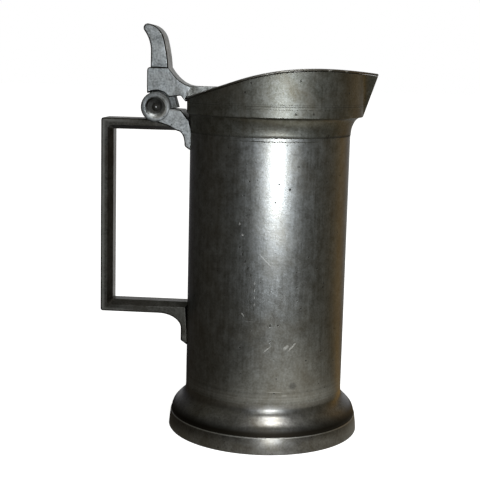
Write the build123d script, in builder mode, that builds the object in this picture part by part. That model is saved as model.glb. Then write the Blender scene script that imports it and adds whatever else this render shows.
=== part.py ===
from build123d import *
from math import asin, atan2, cos, degrees, radians, sin, sqrt, tan
import os

# A tall one-litre pewter measure with a square handle and a hinged lid that ends in a beak.
# The drum stands on the Z axis, the foot rests on Z = 0, the beak points to +X and the handle to -X.
# All lengths are in millimetres and all angles in degrees.

# Drum and bottom
BORE_RADIUS = 43.0
DRUM_WALL = 2.5
BOTTOM_UNDERSIDE = 11.8
BOTTOM_THICKNESS = 3.0
BOTTOM_RING_RADIUS = 26.6
MEASURE_DEPTH = 172.2
SEAT_DROP = 3.0
TURNED_LINE_BELOW_COVE = 1.6
TURNED_LINE_DEPTH = 0.25
TURNED_LINE_WIDTH = 0.7

# Foot: how far it flares out beyond the drum, and its profile from the table upwards
FOOT_FLARE = 9.7
FOOT_BAND_HEIGHT = 9.2
FOOT_BAND_LEAN = 1.1
FOOT_STEP = 0.8
SHOULDER_HEIGHT = 3.6
SHOULDER_DROP = 1.0
FOOT_OGEE_HEIGHT = 8.4
FOOT_LIP = 0.25
FOOT_RING_WIDTH = 3.4
FOOT_SEAT_WIDTH = 1.4

# Collar: how far it stands out beyond the drum, its upright band and the hollow cove below
COLLAR_STEP = 6.7
COLLAR_BAND = 4.6
COVE_HEIGHT = 11.0
COVE_LIP = 0.2

# Mouth wall: it meets the collar's edge under the beak and stands back from it at the hinge
MOUTH_SETBACK = 4.6
MOUTH_WALL = 2.2

# Rim line seen from the side: a slope from the hinge, a crest arc, a flatter arc down to the beak
RIM_RISE = 20.2
RIM_REAR_RISE = 2.3
RIM_SLOPE = 18.6
CREST_RADIUS = 135.0
BEAK_TIP_DROP = 2.1

# Beak
KEEL_LEAN = 18.2
KEEL_THICKENING = 1.3
BEAK_HALF_WIDTH_FOOT = 3.5
BEAK_HALF_WIDTH_TOP = 13.0
BEAK_HOLLOW = 1.1
BEAK_TIP_RADIUS = 1.3
BEAK_WALL = 1.9

# Lid
LID_GAP = 0.3
LID_THICKNESS = 1.2
LID_OVERHANG = 0.2

# Hinge: the axis stands out from the collar and a little under its ledge
HINGE_OUT = 12.2
HINGE_BELOW_LEDGE = 1.8
KNUCKLE_RADIUS = 8.5
KNUCKLE_CHAMFER = 0.5
FORK_WIDTH = 22.0
TONGUE_WIDTH = 10.0
TONGUE_RADIUS = 6.2
TONGUE_NOSE = 11.6
TONGUE_BATTER = 1.2
TONGUE_ROOT = 1.6
TONGUE_FLOOR_GAP = 0.5
HINGE_GAP = 0.3
PIN_RADIUS = 2.5
PIN_CLEARANCE = 0.05
PIN_END_CHAMFER = 0.6
PIN_STAND = 0.9
DISH_RADIUS = 5.9
DISH_DEPTH = 2.6

# Strap: a block over the hinge, arched above the cheeks, and a tapering foot on the lid
STRAP_WIDTH = 18.0
BLOCK_BACK = 5.4
BLOCK_TOP = 22.2
BLOCK_FRONT = 6.7
BLOCK_CORNER = 1.8
ARCH_GAP = 0.7
ARCH_SHARE = 0.78
STRAP_FOOT_HEIGHT = 12.1
STRAP_FOOT_WIDTH = 11.0
STRAP_FOOT_STEP = 0.5
STRAP_WAIST = 1.8
STRAP_HEEL = 2.7
STRAP_HEEL_DROP = 2.2
STRAP_EDGE = 0.5
SWEEP_RUN = 4.0
SWEEP_SHARES = (0.30, 0.44)
TAPER_SHARE = 0.3

# Thumbpiece on the block
THUMB_SETBACK = 2.0
THUMB_HEIGHT = 24.1
THUMB_CURL = 3.8
THUMB_CURL_HEIGHT = 11.3
THUMB_TIP_WIDTH = 2.3
THUMB_TIP_HEIGHT = 3.9
THUMB_LEAN = 2.7
THUMB_BROW_DROP = 7.9
THUMB_EDGE = 0.6

# Handle: a square bow that stands out from the drum
HANDLE_STANDOFF = 50.5
HANDLE_FOOT = 66.0
HANDLE_WIDTH = 18.0
HANDLE_DEPTH = 6.4
HANDLE_BEVEL_DEPTH = 2.4
HANDLE_BEVEL_WIDTH = 5.0
HANDLE_INNER_CORNER = 0.5
HANDLE_OUTER_CORNER = 1.4
HANDLE_SOCKET = 8.0
LOWER_TAIL_SETBACK = 3.0
LOWER_TAIL_LENGTH = 18.0
LOWER_TAIL_RUN = 13.0
LOWER_TAIL_RISE = 8.5

# Bracket that holds the hinge and the upper end of the handle
BRACKET_TOP_BELOW_AXIS = 0.9
BRACKET_SWELL = 1.3
BRACKET_TAIL_SETBACK = 2.9
BRACKET_TAIL_LENGTH = 10.5
BRACKET_TAIL_RUN = 4.1
BRACKET_TAIL_RISE = 7.5
TAIL_TOE = 2.0

# How far the cutting shapes reach past what they cut
CUT_MARGIN = 20.0

# Sizes that follow from the ones above
DRUM_RADIUS = BORE_RADIUS + DRUM_WALL
BOTTOM_TOP = BOTTOM_UNDERSIDE + BOTTOM_THICKNESS
DRUM_BASE = BOTTOM_UNDERSIDE - SEAT_DROP
LEDGE_Z = BOTTOM_TOP + MEASURE_DEPTH
FOOT_RADIUS = DRUM_RADIUS + FOOT_FLARE
FOOT_HEIGHT = FOOT_BAND_HEIGHT + SHOULDER_HEIGHT + FOOT_OGEE_HEIGHT
COLLAR_RADIUS = DRUM_RADIUS + COLLAR_STEP
COLLAR_BASE = LEDGE_Z - COLLAR_BAND
COVE_BASE = COLLAR_BASE - COVE_HEIGHT
MOUTH_RADIUS = COLLAR_RADIUS - MOUTH_SETBACK / 2
MOUTH_X = MOUTH_SETBACK / 2
RIM_TOP = LEDGE_Z + RIM_RISE
CREST_RISE = CREST_RADIUS * (1 - cos(radians(RIM_SLOPE)))
SLOPE_RUN = (RIM_RISE - RIM_REAR_RISE - CREST_RISE) / tan(radians(RIM_SLOPE))
CREST_END_X = MOUTH_X - MOUTH_RADIUS + SLOPE_RUN + CREST_RADIUS * sin(radians(RIM_SLOPE))
BEAK_TIP_Z = RIM_TOP - BEAK_TIP_DROP
BEAK_BACK_X = MOUTH_RADIUS - 2 * MOUTH_WALL
CLEAR_HEIGHT = RIM_TOP + CUT_MARGIN
SIDE_REACH = COLLAR_RADIUS + CUT_MARGIN
HINGE_X = -COLLAR_RADIUS - HINGE_OUT
HINGE_Z = LEDGE_Z - HINGE_BELOW_LEDGE
HANDLE_TOP = HINGE_Z - TONGUE_RADIUS - TONGUE_FLOOR_GAP
HANDLE_INNER_TOP = HANDLE_TOP - HANDLE_DEPTH
HANDLE_INNER_FOOT = HANDLE_FOOT + HANDLE_DEPTH
HANDLE_REACH = DRUM_RADIUS + HANDLE_STANDOFF
HANDLE_INNER_REACH = HANDLE_REACH - HANDLE_DEPTH
HANDLE_SOCKET_X = -DRUM_RADIUS - HANDLE_SOCKET


def crest_point(angle, lift):
    """The point of the crest arc at an angle back from its top, lifted square to the rim."""
    radius = CREST_RADIUS + lift
    x = CREST_END_X - radius * sin(radians(angle))
    z = RIM_TOP - CREST_RADIUS + radius * cos(radians(angle))
    return (x, z)


def slope_point(x, lift=0.0):
    """The point of the rim's straight slope at one x, lifted square to the rim."""
    foot_x, foot_z = crest_point(RIM_SLOPE, lift)
    return (x, foot_z + (x - foot_x) * tan(radians(RIM_SLOPE)))


def rim_line(lift):
    """Draw the rim line from the hinge side to past the beak's tip, lifted square to itself."""
    tip_run = keel_x(BEAK_TIP_Z) - CREST_END_X
    dip_radius = (tip_run**2 + BEAK_TIP_DROP**2) / (2 * BEAK_TIP_DROP)
    dip_angle = degrees(asin((SIDE_REACH - CREST_END_X) / dip_radius))
    Line(slope_point(-SIDE_REACH, lift), crest_point(RIM_SLOPE, lift))
    CenterArc((CREST_END_X, RIM_TOP - CREST_RADIUS), CREST_RADIUS + lift, 90 + RIM_SLOPE, -RIM_SLOPE)
    return CenterArc((CREST_END_X, RIM_TOP - dip_radius), dip_radius + lift, 90, -dip_angle)


def keel_x(height):
    """How far out the beak's keel stands at one height; it starts at the collar's lower edge."""
    return COLLAR_RADIUS + (height - COLLAR_BASE) * tan(radians(KEEL_LEAN))


def beak_half_width(height):
    """Half the width of the beak where it leaves the mouth, growing evenly with height."""
    share = (height - COLLAR_BASE) / (RIM_TOP - COLLAR_BASE)
    return BEAK_HALF_WIDTH_FOOT + share * (BEAK_HALF_WIDTH_TOP - BEAK_HALF_WIDTH_FOOT)


def beak_outline(height, inset, back_x):
    """Draw the beak in plan: two hollow flanks from the mouth to a round tip, closed behind."""
    half = beak_half_width(height) - inset
    root = MOUTH_X + sqrt((MOUTH_RADIUS - inset) ** 2 - half**2)
    tip = keel_x(height) - inset * KEEL_THICKENING
    flank = atan2(half, tip - root)
    shoulder = (tip - BEAK_TIP_RADIUS * (1 - sin(flank)), BEAK_TIP_RADIUS * cos(flank))
    middle_x = (root + shoulder[0]) / 2 - BEAK_HOLLOW * sin(flank)
    middle_y = (half + shoulder[1]) / 2 - BEAK_HOLLOW * cos(flank)
    ThreePointArc((root, -half), (middle_x, -middle_y), (shoulder[0], -shoulder[1]))
    ThreePointArc((shoulder[0], -shoulder[1]), (tip, 0), shoulder)
    ThreePointArc(shoulder, (middle_x, middle_y), (root, half))
    Polyline((root, half), (back_x, half), (back_x, -half), (root, -half))


def collar_front():
    """Draw the collar's outer side: a small lip on the drum, the hollow cove, a lip and the band."""
    lip_radius = DRUM_RADIUS + COVE_LIP
    cove_radius = COLLAR_RADIUS - COVE_LIP
    Line((DRUM_RADIUS, COVE_BASE + COVE_LIP), (lip_radius, COVE_BASE + COVE_LIP))
    EllipticalCenterArc(
        (cove_radius, COVE_BASE + COVE_LIP),
        cove_radius - lip_radius,
        COVE_HEIGHT - COVE_LIP,
        start_angle=90,
        arc_size=90,
    )
    Polyline((cove_radius, COLLAR_BASE), (COLLAR_RADIUS, COLLAR_BASE), (COLLAR_RADIUS, LEDGE_Z))


def tail_curve(face_x, top_z, run, rise, end_z):
    """Draw a tail against the drum: a quarter ellipse down to its face, and a bevelled toe."""
    EllipticalCenterArc((face_x - run, top_z - rise), run, rise, start_angle=90, arc_size=-90)
    Polyline(
        (face_x, top_z - rise),
        (face_x, end_z + TAIL_TOE),
        (-DRUM_RADIUS, end_z),
        (-BORE_RADIUS, end_z),
    )


# Space above the rim, used to trim the mouth and the beak
with BuildPart() as above_rim:
    with BuildSketch(Plane.XZ):
        with BuildLine():
            end = rim_line(0) @ 1
            start = slope_point(-SIDE_REACH)
            Polyline((end.X, end.Y), (end.X, CLEAR_HEIGHT), (start[0], CLEAR_HEIGHT), start)
        make_face()
    extrude(amount=SIDE_REACH, both=True)

# Space that the finished vessel fills from outside, used to seat what is soldered to it
with BuildPart() as vessel_envelope:
    with BuildSketch(Plane.XZ):
        with BuildLine():
            Polyline((0, LEDGE_Z), (0, 0), (DRUM_RADIUS, 0), (DRUM_RADIUS, COVE_BASE + COVE_LIP))
            collar_front()
            Line((COLLAR_RADIUS, LEDGE_Z), (0, LEDGE_Z))
        make_face()
    revolve(axis=Axis.Z)
    with BuildSketch(Plane.XY.offset(LEDGE_Z)):
        with Locations((MOUTH_X, 0)):
            Circle(MOUTH_RADIUS)
    extrude(amount=CLEAR_HEIGHT - LEDGE_Z)

# Drum: a straight tube with one turned line below the collar
turned_line_z = COVE_BASE - TURNED_LINE_BELOW_COVE
with BuildPart() as drum:
    with BuildSketch(Plane.XZ):
        with BuildLine():
            Polyline(
                (BORE_RADIUS, DRUM_BASE),
                (DRUM_RADIUS, DRUM_BASE),
                (DRUM_RADIUS, turned_line_z - TURNED_LINE_WIDTH / 2),
                (DRUM_RADIUS - TURNED_LINE_DEPTH, turned_line_z),
                (DRUM_RADIUS, turned_line_z + TURNED_LINE_WIDTH / 2),
                (DRUM_RADIUS, LEDGE_Z),
                (BORE_RADIUS, LEDGE_Z),
                close=True,
            )
        make_face()
    revolve(axis=Axis.Z)

# Bottom disc, let into the bore above the foot, with one turned ring on its underside
with BuildPart() as bottom_disc:
    with BuildSketch(Plane.XY.offset(BOTTOM_UNDERSIDE)):
        Circle(BORE_RADIUS)
    extrude(amount=BOTTOM_THICKNESS)
    with BuildSketch(Plane.XY.offset(BOTTOM_UNDERSIDE)):
        Circle(BOTTOM_RING_RADIUS)
        Circle(BOTTOM_RING_RADIUS - TURNED_LINE_WIDTH, mode=Mode.SUBTRACT)
    extrude(amount=TURNED_LINE_DEPTH, mode=Mode.SUBTRACT)

# Foot ring: a plain band, a fine step, a round shoulder and an ogee that runs up to the drum
band_top_radius = FOOT_RADIUS - FOOT_BAND_LEAN
shoulder_base_radius = band_top_radius - FOOT_STEP
shoulder_top_radius = shoulder_base_radius - SHOULDER_DROP
shoulder_top_z = FOOT_BAND_HEIGHT + SHOULDER_HEIGHT
shoulder_middle = (shoulder_base_radius - SHOULDER_DROP * 0.25, FOOT_BAND_HEIGHT + SHOULDER_HEIGHT * 0.55)
ogee_run = shoulder_top_radius - DRUM_RADIUS - FOOT_LIP
ogee_middle = (shoulder_top_radius - ogee_run * 0.45, shoulder_top_z + FOOT_OGEE_HEIGHT * 0.34)
seat_radius = DRUM_RADIUS - FOOT_SEAT_WIDTH
with BuildPart() as foot_ring:
    with BuildSketch(Plane.XZ):
        with BuildLine():
            Polyline(
                (FOOT_RADIUS - FOOT_RING_WIDTH, 0),
                (FOOT_RADIUS - FOOT_STEP, 0),
                (FOOT_RADIUS, FOOT_STEP),
                (band_top_radius, FOOT_BAND_HEIGHT),
                (shoulder_base_radius, FOOT_BAND_HEIGHT),
            )
            ThreePointArc(
                (shoulder_base_radius, FOOT_BAND_HEIGHT),
                shoulder_middle,
                (shoulder_top_radius, shoulder_top_z),
            )
            ThreePointArc(
                (shoulder_top_radius, shoulder_top_z),
                ogee_middle,
                (DRUM_RADIUS + FOOT_LIP, FOOT_HEIGHT),
            )
            Polyline(
                (DRUM_RADIUS + FOOT_LIP, FOOT_HEIGHT),
                (DRUM_RADIUS, FOOT_HEIGHT),
                (DRUM_RADIUS, DRUM_BASE),
                (seat_radius, DRUM_BASE),
                (seat_radius, DRUM_BASE - FOOT_SEAT_WIDTH),
                (FOOT_RADIUS - FOOT_RING_WIDTH, 0),
            )
        make_face()
    revolve(axis=Axis.Z)

# Collar ring: an upright band over a hollow cove that runs down into the drum
with BuildPart() as collar_ring:
    with BuildSketch(Plane.XZ):
        with BuildLine():
            collar_front()
            Polyline(
                (COLLAR_RADIUS, LEDGE_Z),
                (DRUM_RADIUS, LEDGE_Z),
                (DRUM_RADIUS, COVE_BASE + COVE_LIP),
            )
        make_face()
    revolve(axis=Axis.Z)

# Hollow of the beak, which also opens the mouth wall behind it
with BuildPart() as beak_hollow:
    for height in (LEDGE_Z + BEAK_WALL, CLEAR_HEIGHT):
        with BuildSketch(Plane.XY.offset(height)):
            with BuildLine():
                beak_outline(height, BEAK_WALL, BEAK_BACK_X)
            make_face()
    loft(ruled=True)

# Mouth wall: a short tube, trimmed to the rim line and open towards the beak
with BuildPart() as mouth_wall:
    with BuildSketch(Plane.XY.offset(LEDGE_Z)):
        with Locations((MOUTH_X, 0)):
            Circle(MOUTH_RADIUS)
            Circle(MOUTH_RADIUS - MOUTH_WALL, mode=Mode.SUBTRACT)
    extrude(amount=CLEAR_HEIGHT - LEDGE_Z)
    add(above_rim.part, mode=Mode.SUBTRACT)
    add(beak_hollow.part, mode=Mode.SUBTRACT)

# Spout: a hollow beak with a leaning keel, seated on the mouth wall and the collar
with BuildPart() as spout:
    for height in (COLLAR_BASE, CLEAR_HEIGHT):
        with BuildSketch(Plane.XY.offset(height)):
            with BuildLine():
                beak_outline(height, 0, BEAK_BACK_X)
            make_face()
    loft(ruled=True)
    add(beak_hollow.part, mode=Mode.SUBTRACT)
    add(vessel_envelope.part, mode=Mode.SUBTRACT)
    add(above_rim.part, mode=Mode.SUBTRACT)

# Lid plate: a sheet bent to the rim line and cut to the mouth and the beak in plan
lid_top_lift = LID_GAP + LID_THICKNESS
with BuildPart() as lid_plate:
    with BuildSketch(Plane.XZ):
        with BuildLine():
            low_end = rim_line(LID_GAP) @ 1
            high_end = rim_line(lid_top_lift) @ 1
            Line((low_end.X, low_end.Y), (high_end.X, high_end.Y))
            Line(slope_point(-SIDE_REACH, LID_GAP), slope_point(-SIDE_REACH, lid_top_lift))
        make_face()
    extrude(amount=SIDE_REACH, both=True)
    with BuildSketch(Plane.XY.offset(LEDGE_Z)):
        with Locations((MOUTH_X, 0)):
            Circle(MOUTH_RADIUS + LID_OVERHANG)
        with BuildLine():
            beak_outline(BEAK_TIP_Z, -LID_OVERHANG, 0)
        make_face()
    extrude(amount=CLEAR_HEIGHT - LEDGE_Z, mode=Mode.INTERSECT)

# Strap: a block over the hinge, a tongue between the fork's cheeks and a tapering foot on the lid
arch_radius = KNUCKLE_RADIUS + ARCH_GAP
arch_reach = arch_radius * ARCH_SHARE
arch_rise = sqrt(arch_radius**2 - arch_reach**2)
arch_back_z = HINGE_Z + sqrt(arch_radius**2 - BLOCK_BACK**2)
block_back_x = HINGE_X - BLOCK_BACK
block_front_x = HINGE_X + BLOCK_FRONT
block_top_z = HINGE_Z + BLOCK_TOP
strap_foot_z = HINGE_Z + STRAP_FOOT_HEIGHT
heel_x, heel_z = slope_point(MOUTH_X - MOUTH_RADIUS - LID_OVERHANG, lid_top_lift)
strap_end_x = heel_x + (strap_foot_z - STRAP_FOOT_STEP - heel_z) / tan(radians(RIM_SLOPE))
half_width = STRAP_WIDTH / 2
half_foot = STRAP_FOOT_WIDTH / 2
waist_x = heel_x + STRAP_WAIST
sweep_end_x = waist_x + SWEEP_RUN
sweep_middle = (
    block_front_x + (sweep_end_x - block_front_x) * SWEEP_SHARES[0],
    strap_foot_z + (block_top_z - strap_foot_z) * SWEEP_SHARES[1],
)
taper_end_x = strap_end_x - half_foot
taper_middle_x = (waist_x + taper_end_x) / 2
taper_middle_y = half_foot + (half_width - half_foot) * TAPER_SHARE
tongue_foot_z = HINGE_Z - BRACKET_TOP_BELOW_AXIS + TONGUE_FLOOR_GAP
with BuildPart() as lid_strap:
    with BuildSketch(Plane.XZ):
        with BuildLine():
            Polyline(
                (block_back_x, arch_back_z),
                (block_back_x, block_top_z),
                (block_front_x, block_top_z),
            )
            ThreePointArc((block_front_x, block_top_z), sweep_middle, (sweep_end_x, strap_foot_z))
            Polyline(
                (sweep_end_x, strap_foot_z),
                (strap_end_x, strap_foot_z),
                slope_point(strap_end_x, lid_top_lift),
                (heel_x, heel_z),
                (heel_x, heel_z - STRAP_HEEL_DROP),
                (heel_x - STRAP_HEEL, HINGE_Z + arch_rise + STRAP_HEEL / 3),
                (HINGE_X + arch_reach, HINGE_Z + arch_rise),
            )
            ThreePointArc(
                (HINGE_X + arch_reach, HINGE_Z + arch_rise),
                (HINGE_X, HINGE_Z + arch_radius),
                (block_back_x, arch_back_z),
            )
        make_face()
    extrude(amount=half_width, both=True)
    with BuildSketch(Plane.XY.offset(HINGE_Z)):
        with BuildLine():
            ThreePointArc(
                (waist_x, half_width), (taper_middle_x, taper_middle_y), (taper_end_x, half_foot)
            )
            ThreePointArc((taper_end_x, half_foot), (strap_end_x, 0), (taper_end_x, -half_foot))
            ThreePointArc(
                (taper_end_x, -half_foot), (taper_middle_x, -taper_middle_y), (waist_x, -half_width)
            )
            Polyline(
                (waist_x, -half_width),
                (block_back_x - BLOCK_BACK, -half_width),
                (block_back_x - BLOCK_BACK, half_width),
                (waist_x, half_width),
            )
        make_face()
    extrude(amount=BLOCK_TOP * 2, mode=Mode.INTERSECT)
    top_corner = lid_strap.edges().filter_by(Axis.Y).group_by(Axis.Z)[-1].sort_by(Axis.X)[0]
    fillet(top_corner, BLOCK_CORNER)
    outer_edges = lid_strap.faces().filter_by(Axis.Y).edges().filter_by(
        lambda edge: edge.center().Z > strap_foot_z - STRAP_EDGE or edge.center().X < HINGE_X - BLOCK_BACK / 2
    )
    chamfer(outer_edges, STRAP_EDGE)
    with BuildSketch(Plane.XZ):
        with Locations((HINGE_X, HINGE_Z)):
            Circle(TONGUE_RADIUS)
        with BuildLine():
            Polyline(
                (block_back_x + STRAP_EDGE, HINGE_Z),
                (block_back_x + STRAP_EDGE, arch_back_z + TONGUE_ROOT),
                (block_front_x, HINGE_Z + arch_radius + TONGUE_ROOT),
                (HINGE_X + TONGUE_NOSE - TONGUE_BATTER, HINGE_Z + arch_rise + TONGUE_ROOT / 2),
                (HINGE_X + TONGUE_NOSE, tongue_foot_z),
                (HINGE_X, tongue_foot_z),
                close=True,
            )
        make_face()
    extrude(amount=TONGUE_WIDTH / 2, both=True)
    with BuildSketch(Plane.XZ):
        with Locations((HINGE_X, HINGE_Z)):
            Circle(PIN_RADIUS + PIN_CLEARANCE)
    extrude(amount=STRAP_WIDTH, both=True, mode=Mode.SUBTRACT)

# Thumbpiece: a thick horn soldered on the block, upright in front and curled back at its tip
thumb_back_x = block_back_x + THUMB_SETBACK
thumb_top_z = block_top_z + THUMB_HEIGHT
curl_end = (thumb_back_x - THUMB_CURL, thumb_top_z - THUMB_TIP_HEIGHT)
tip_end = (curl_end[0] + THUMB_TIP_WIDTH, thumb_top_z)
brow_end = (block_front_x - THUMB_LEAN, thumb_top_z - THUMB_BROW_DROP)
with BuildPart() as thumbpiece:
    with BuildSketch(Plane.XZ):
        with BuildLine():
            back = Line((thumb_back_x, block_top_z), (thumb_back_x, curl_end[1] - THUMB_CURL_HEIGHT))
            curl = TangentArc(back @ 1, curl_end, tangent=back % 1)
            tip = TangentArc(curl @ 1, tip_end, tangent=curl % 1)
            brow = TangentArc(tip @ 1, brow_end, tangent=tip % 1)
            TangentArc(brow @ 1, (block_front_x, block_top_z), tangent=brow % 1)
            Line((block_front_x, block_top_z), (thumb_back_x, block_top_z))
        make_face()
    extrude(amount=half_width, both=True)
    horn_edges = thumbpiece.faces().filter_by(Axis.Y).edges()
    chamfer(horn_edges.filter_by(lambda edge: edge.center().Z > block_top_z + THUMB_EDGE), THUMB_EDGE)

# Handle: a square bow in one casting with the tail under its lower end, bevelled on the inside
with BuildPart() as handle:
    with BuildSketch(Plane.XZ):
        with BuildLine():
            tail_face_x = -DRUM_RADIUS - LOWER_TAIL_SETBACK
            Polyline(
                (HANDLE_SOCKET_X, HANDLE_TOP),
                (-HANDLE_REACH, HANDLE_TOP),
                (-HANDLE_REACH, HANDLE_FOOT),
                (tail_face_x - LOWER_TAIL_RUN, HANDLE_FOOT),
            )
            lower_tail_end = HANDLE_FOOT - LOWER_TAIL_LENGTH
            tail_curve(tail_face_x, HANDLE_FOOT, LOWER_TAIL_RUN, LOWER_TAIL_RISE, lower_tail_end)
            Polyline(
                (-BORE_RADIUS, lower_tail_end),
                (-BORE_RADIUS, HANDLE_INNER_FOOT),
                (-HANDLE_INNER_REACH, HANDLE_INNER_FOOT),
                (-HANDLE_INNER_REACH, HANDLE_INNER_TOP),
                (HANDLE_SOCKET_X, HANDLE_INNER_TOP),
                (HANDLE_SOCKET_X, HANDLE_TOP),
            )
        make_face()
    extrude(amount=HANDLE_WIDTH / 2, both=True)
    fillet(handle.edges().filter_by(Axis.Y).group_by(Axis.X)[0], HANDLE_OUTER_CORNER)
    inner_corners = handle.edges().filter_by(Axis.Y).filter_by(
        lambda edge: abs(edge.center().X + HANDLE_INNER_REACH) < HANDLE_BEVEL_DEPTH
    )
    fillet(inner_corners, HANDLE_INNER_CORNER)
    corner = HANDLE_OUTER_CORNER
    for end in (0, -1):
        side_face = handle.faces().filter_by(Axis.Y).sort_by(Axis.Y)[end]
        inner_edges = side_face.edges().filter_by(
            lambda edge: -HANDLE_REACH + corner < edge.center().X < HANDLE_SOCKET_X - corner
            and HANDLE_FOOT + corner < edge.center().Z < HANDLE_TOP - corner
        )
        chamfer(inner_edges, HANDLE_BEVEL_DEPTH, HANDLE_BEVEL_WIDTH, reference=side_face)
    add(vessel_envelope.part, mode=Mode.SUBTRACT)

# Hinge bracket: two cheeks with dished ends, a body fitted to the collar and the bar, a short tail
bracket_top_z = HINGE_Z - BRACKET_TOP_BELOW_AXIS
bracket_tail_x = -DRUM_RADIUS - BRACKET_TAIL_SETBACK
bracket_tail_end = HANDLE_INNER_TOP - BRACKET_TAIL_LENGTH
knuckle_foot = (HINGE_X, HINGE_Z - KNUCKLE_RADIUS)
tail_top = (bracket_tail_x - BRACKET_TAIL_RUN, HANDLE_INNER_TOP)
swell_x = (knuckle_foot[0] + tail_top[0]) / 2
swell_z = (knuckle_foot[1] + tail_top[1]) / 2 + BRACKET_SWELL
slot_wall_x = HINGE_X + TONGUE_RADIUS / 2
slot_reach = 2 * KNUCKLE_RADIUS
dish_ball_radius = (DISH_RADIUS**2 + DISH_DEPTH**2) / (2 * DISH_DEPTH)
dish_ball_y = FORK_WIDTH / 2 - DISH_DEPTH + dish_ball_radius
with BuildPart() as hinge_bracket:
    with BuildSketch(Plane.XZ):
        with Locations((HINGE_X, HINGE_Z)):
            Circle(KNUCKLE_RADIUS)
        with BuildLine():
            ThreePointArc(knuckle_foot, (swell_x, swell_z), tail_top)
            tail_curve(
                bracket_tail_x, HANDLE_INNER_TOP, BRACKET_TAIL_RUN, BRACKET_TAIL_RISE, bracket_tail_end
            )
            Polyline(
                (-BORE_RADIUS, bracket_tail_end),
                (-BORE_RADIUS, bracket_top_z),
                (HINGE_X, bracket_top_z),
                knuckle_foot,
            )
        make_face()
    extrude(amount=FORK_WIDTH / 2, both=True)
    chamfer(hinge_bracket.faces().filter_by(Axis.Y).edges(), KNUCKLE_CHAMFER)
    with BuildSketch(Plane.XZ):
        with Locations((HINGE_X, HINGE_Z)):
            Circle(TONGUE_RADIUS + HINGE_GAP)
        with BuildLine():
            Polyline(
                (HINGE_X - slot_reach, HANDLE_TOP),
                (slot_wall_x, HANDLE_TOP),
                (slot_wall_x, bracket_top_z),
                (HINGE_X + slot_reach, bracket_top_z),
                (HINGE_X + slot_reach, HINGE_Z + slot_reach),
                (HINGE_X - slot_reach, HINGE_Z + slot_reach),
                close=True,
            )
        make_face()
    extrude(amount=TONGUE_WIDTH / 2 + HINGE_GAP, both=True, mode=Mode.SUBTRACT)
    with BuildSketch(Plane.XZ):
        with Locations((HINGE_X, HINGE_Z)):
            Circle(PIN_RADIUS)
    extrude(amount=FORK_WIDTH, both=True, mode=Mode.SUBTRACT)
    with Locations((HINGE_X, -dish_ball_y, HINGE_Z), (HINGE_X, dish_ball_y, HINGE_Z)):
        Sphere(dish_ball_radius, mode=Mode.SUBTRACT)
    add(handle.part, mode=Mode.SUBTRACT)
    add(vessel_envelope.part, mode=Mode.SUBTRACT)

# Hinge pin, held in the cheeks, with its bevelled ends standing in the dishes
with BuildPart() as hinge_pin:
    with BuildSketch(Plane.XZ):
        with Locations((HINGE_X, HINGE_Z)):
            Circle(PIN_RADIUS)
    extrude(amount=FORK_WIDTH / 2 - DISH_DEPTH + PIN_STAND, both=True)
    chamfer(hinge_pin.edges().filter_by(GeomType.CIRCLE), PIN_END_CHAMFER)

pieces = {
    "drum": drum,
    "bottom_disc": bottom_disc,
    "foot_ring": foot_ring,
    "collar_ring": collar_ring,
    "mouth_wall": mouth_wall,
    "spout": spout,
    "handle": handle,
    "hinge_bracket": hinge_bracket,
    "hinge_pin": hinge_pin,
    "lid_plate": lid_plate,
    "lid_strap": lid_strap,
    "thumbpiece": thumbpiece,
}
os.makedirs("parts", exist_ok=True)
for name, piece in pieces.items():
    piece.part.label = name
    export_step(piece.part, f"parts/{name}.step")
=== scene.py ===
import math
import bpy
import numpy as np
from mathutils import Matrix, Vector


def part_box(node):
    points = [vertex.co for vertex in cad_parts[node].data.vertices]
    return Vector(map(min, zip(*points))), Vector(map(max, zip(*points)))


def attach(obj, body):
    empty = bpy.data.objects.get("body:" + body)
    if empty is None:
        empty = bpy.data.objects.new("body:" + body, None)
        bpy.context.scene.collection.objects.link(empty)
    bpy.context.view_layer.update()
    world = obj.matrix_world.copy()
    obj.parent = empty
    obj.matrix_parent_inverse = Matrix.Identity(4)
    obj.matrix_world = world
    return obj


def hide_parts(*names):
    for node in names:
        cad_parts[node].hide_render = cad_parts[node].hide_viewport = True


# Looks of a worn pewter measuring jug with a hinged lid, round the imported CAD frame.
# Shapes are worked out in millimetres in the CAD's own frame and turned into metres when a mesh is made.
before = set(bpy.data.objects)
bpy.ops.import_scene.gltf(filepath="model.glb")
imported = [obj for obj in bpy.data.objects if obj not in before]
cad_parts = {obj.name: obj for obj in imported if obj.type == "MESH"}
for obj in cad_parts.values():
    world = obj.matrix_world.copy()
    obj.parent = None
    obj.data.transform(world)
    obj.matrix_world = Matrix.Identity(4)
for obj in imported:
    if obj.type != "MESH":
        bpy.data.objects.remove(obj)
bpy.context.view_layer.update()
MM = 0.001


def node_box(name):
    """Lowest and highest corner of a CAD node, in millimetres."""
    low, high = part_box(name)
    return np.array(low) / MM, np.array(high) / MM


# Sizes read from the frame
drum_low, drum_high = node_box("drum")
collar_low, collar_high = node_box("collar_ring")
mouth_low, mouth_high = node_box("mouth_wall")
handle_low, handle_high = node_box("handle")
bracket_low, bracket_high = node_box("hinge_bracket")
pin_low, pin_high = node_box("hinge_pin")
strap_high = node_box("lid_strap")[1]
DRUM_RADIUS = drum_high[0]
BORE_RADIUS = node_box("bottom_disc")[1][0]
LEDGE_Z = drum_high[2]
FOOT_RADIUS = node_box("foot_ring")[1][0]
COLLAR_RADIUS = collar_high[0]
MOUTH_RADIUS = mouth_high[1]
MOUTH_X = mouth_low[0] + MOUTH_RADIUS
RIM_TOP = mouth_high[2]
BEAK_TIP_X = node_box("spout")[1][0]
LID_BACK_X = node_box("lid_plate")[0][0]
THUMB_TOP = node_box("thumbpiece")[1][2]
HINGE_X = (pin_low[0] + pin_high[0]) / 2
HINGE_Z = (pin_low[2] + pin_high[2]) / 2
FORK_HALF = bracket_high[1]
STRAP_HALF = strap_high[1]
HANDLE_HALF = handle_high[1]

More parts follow.
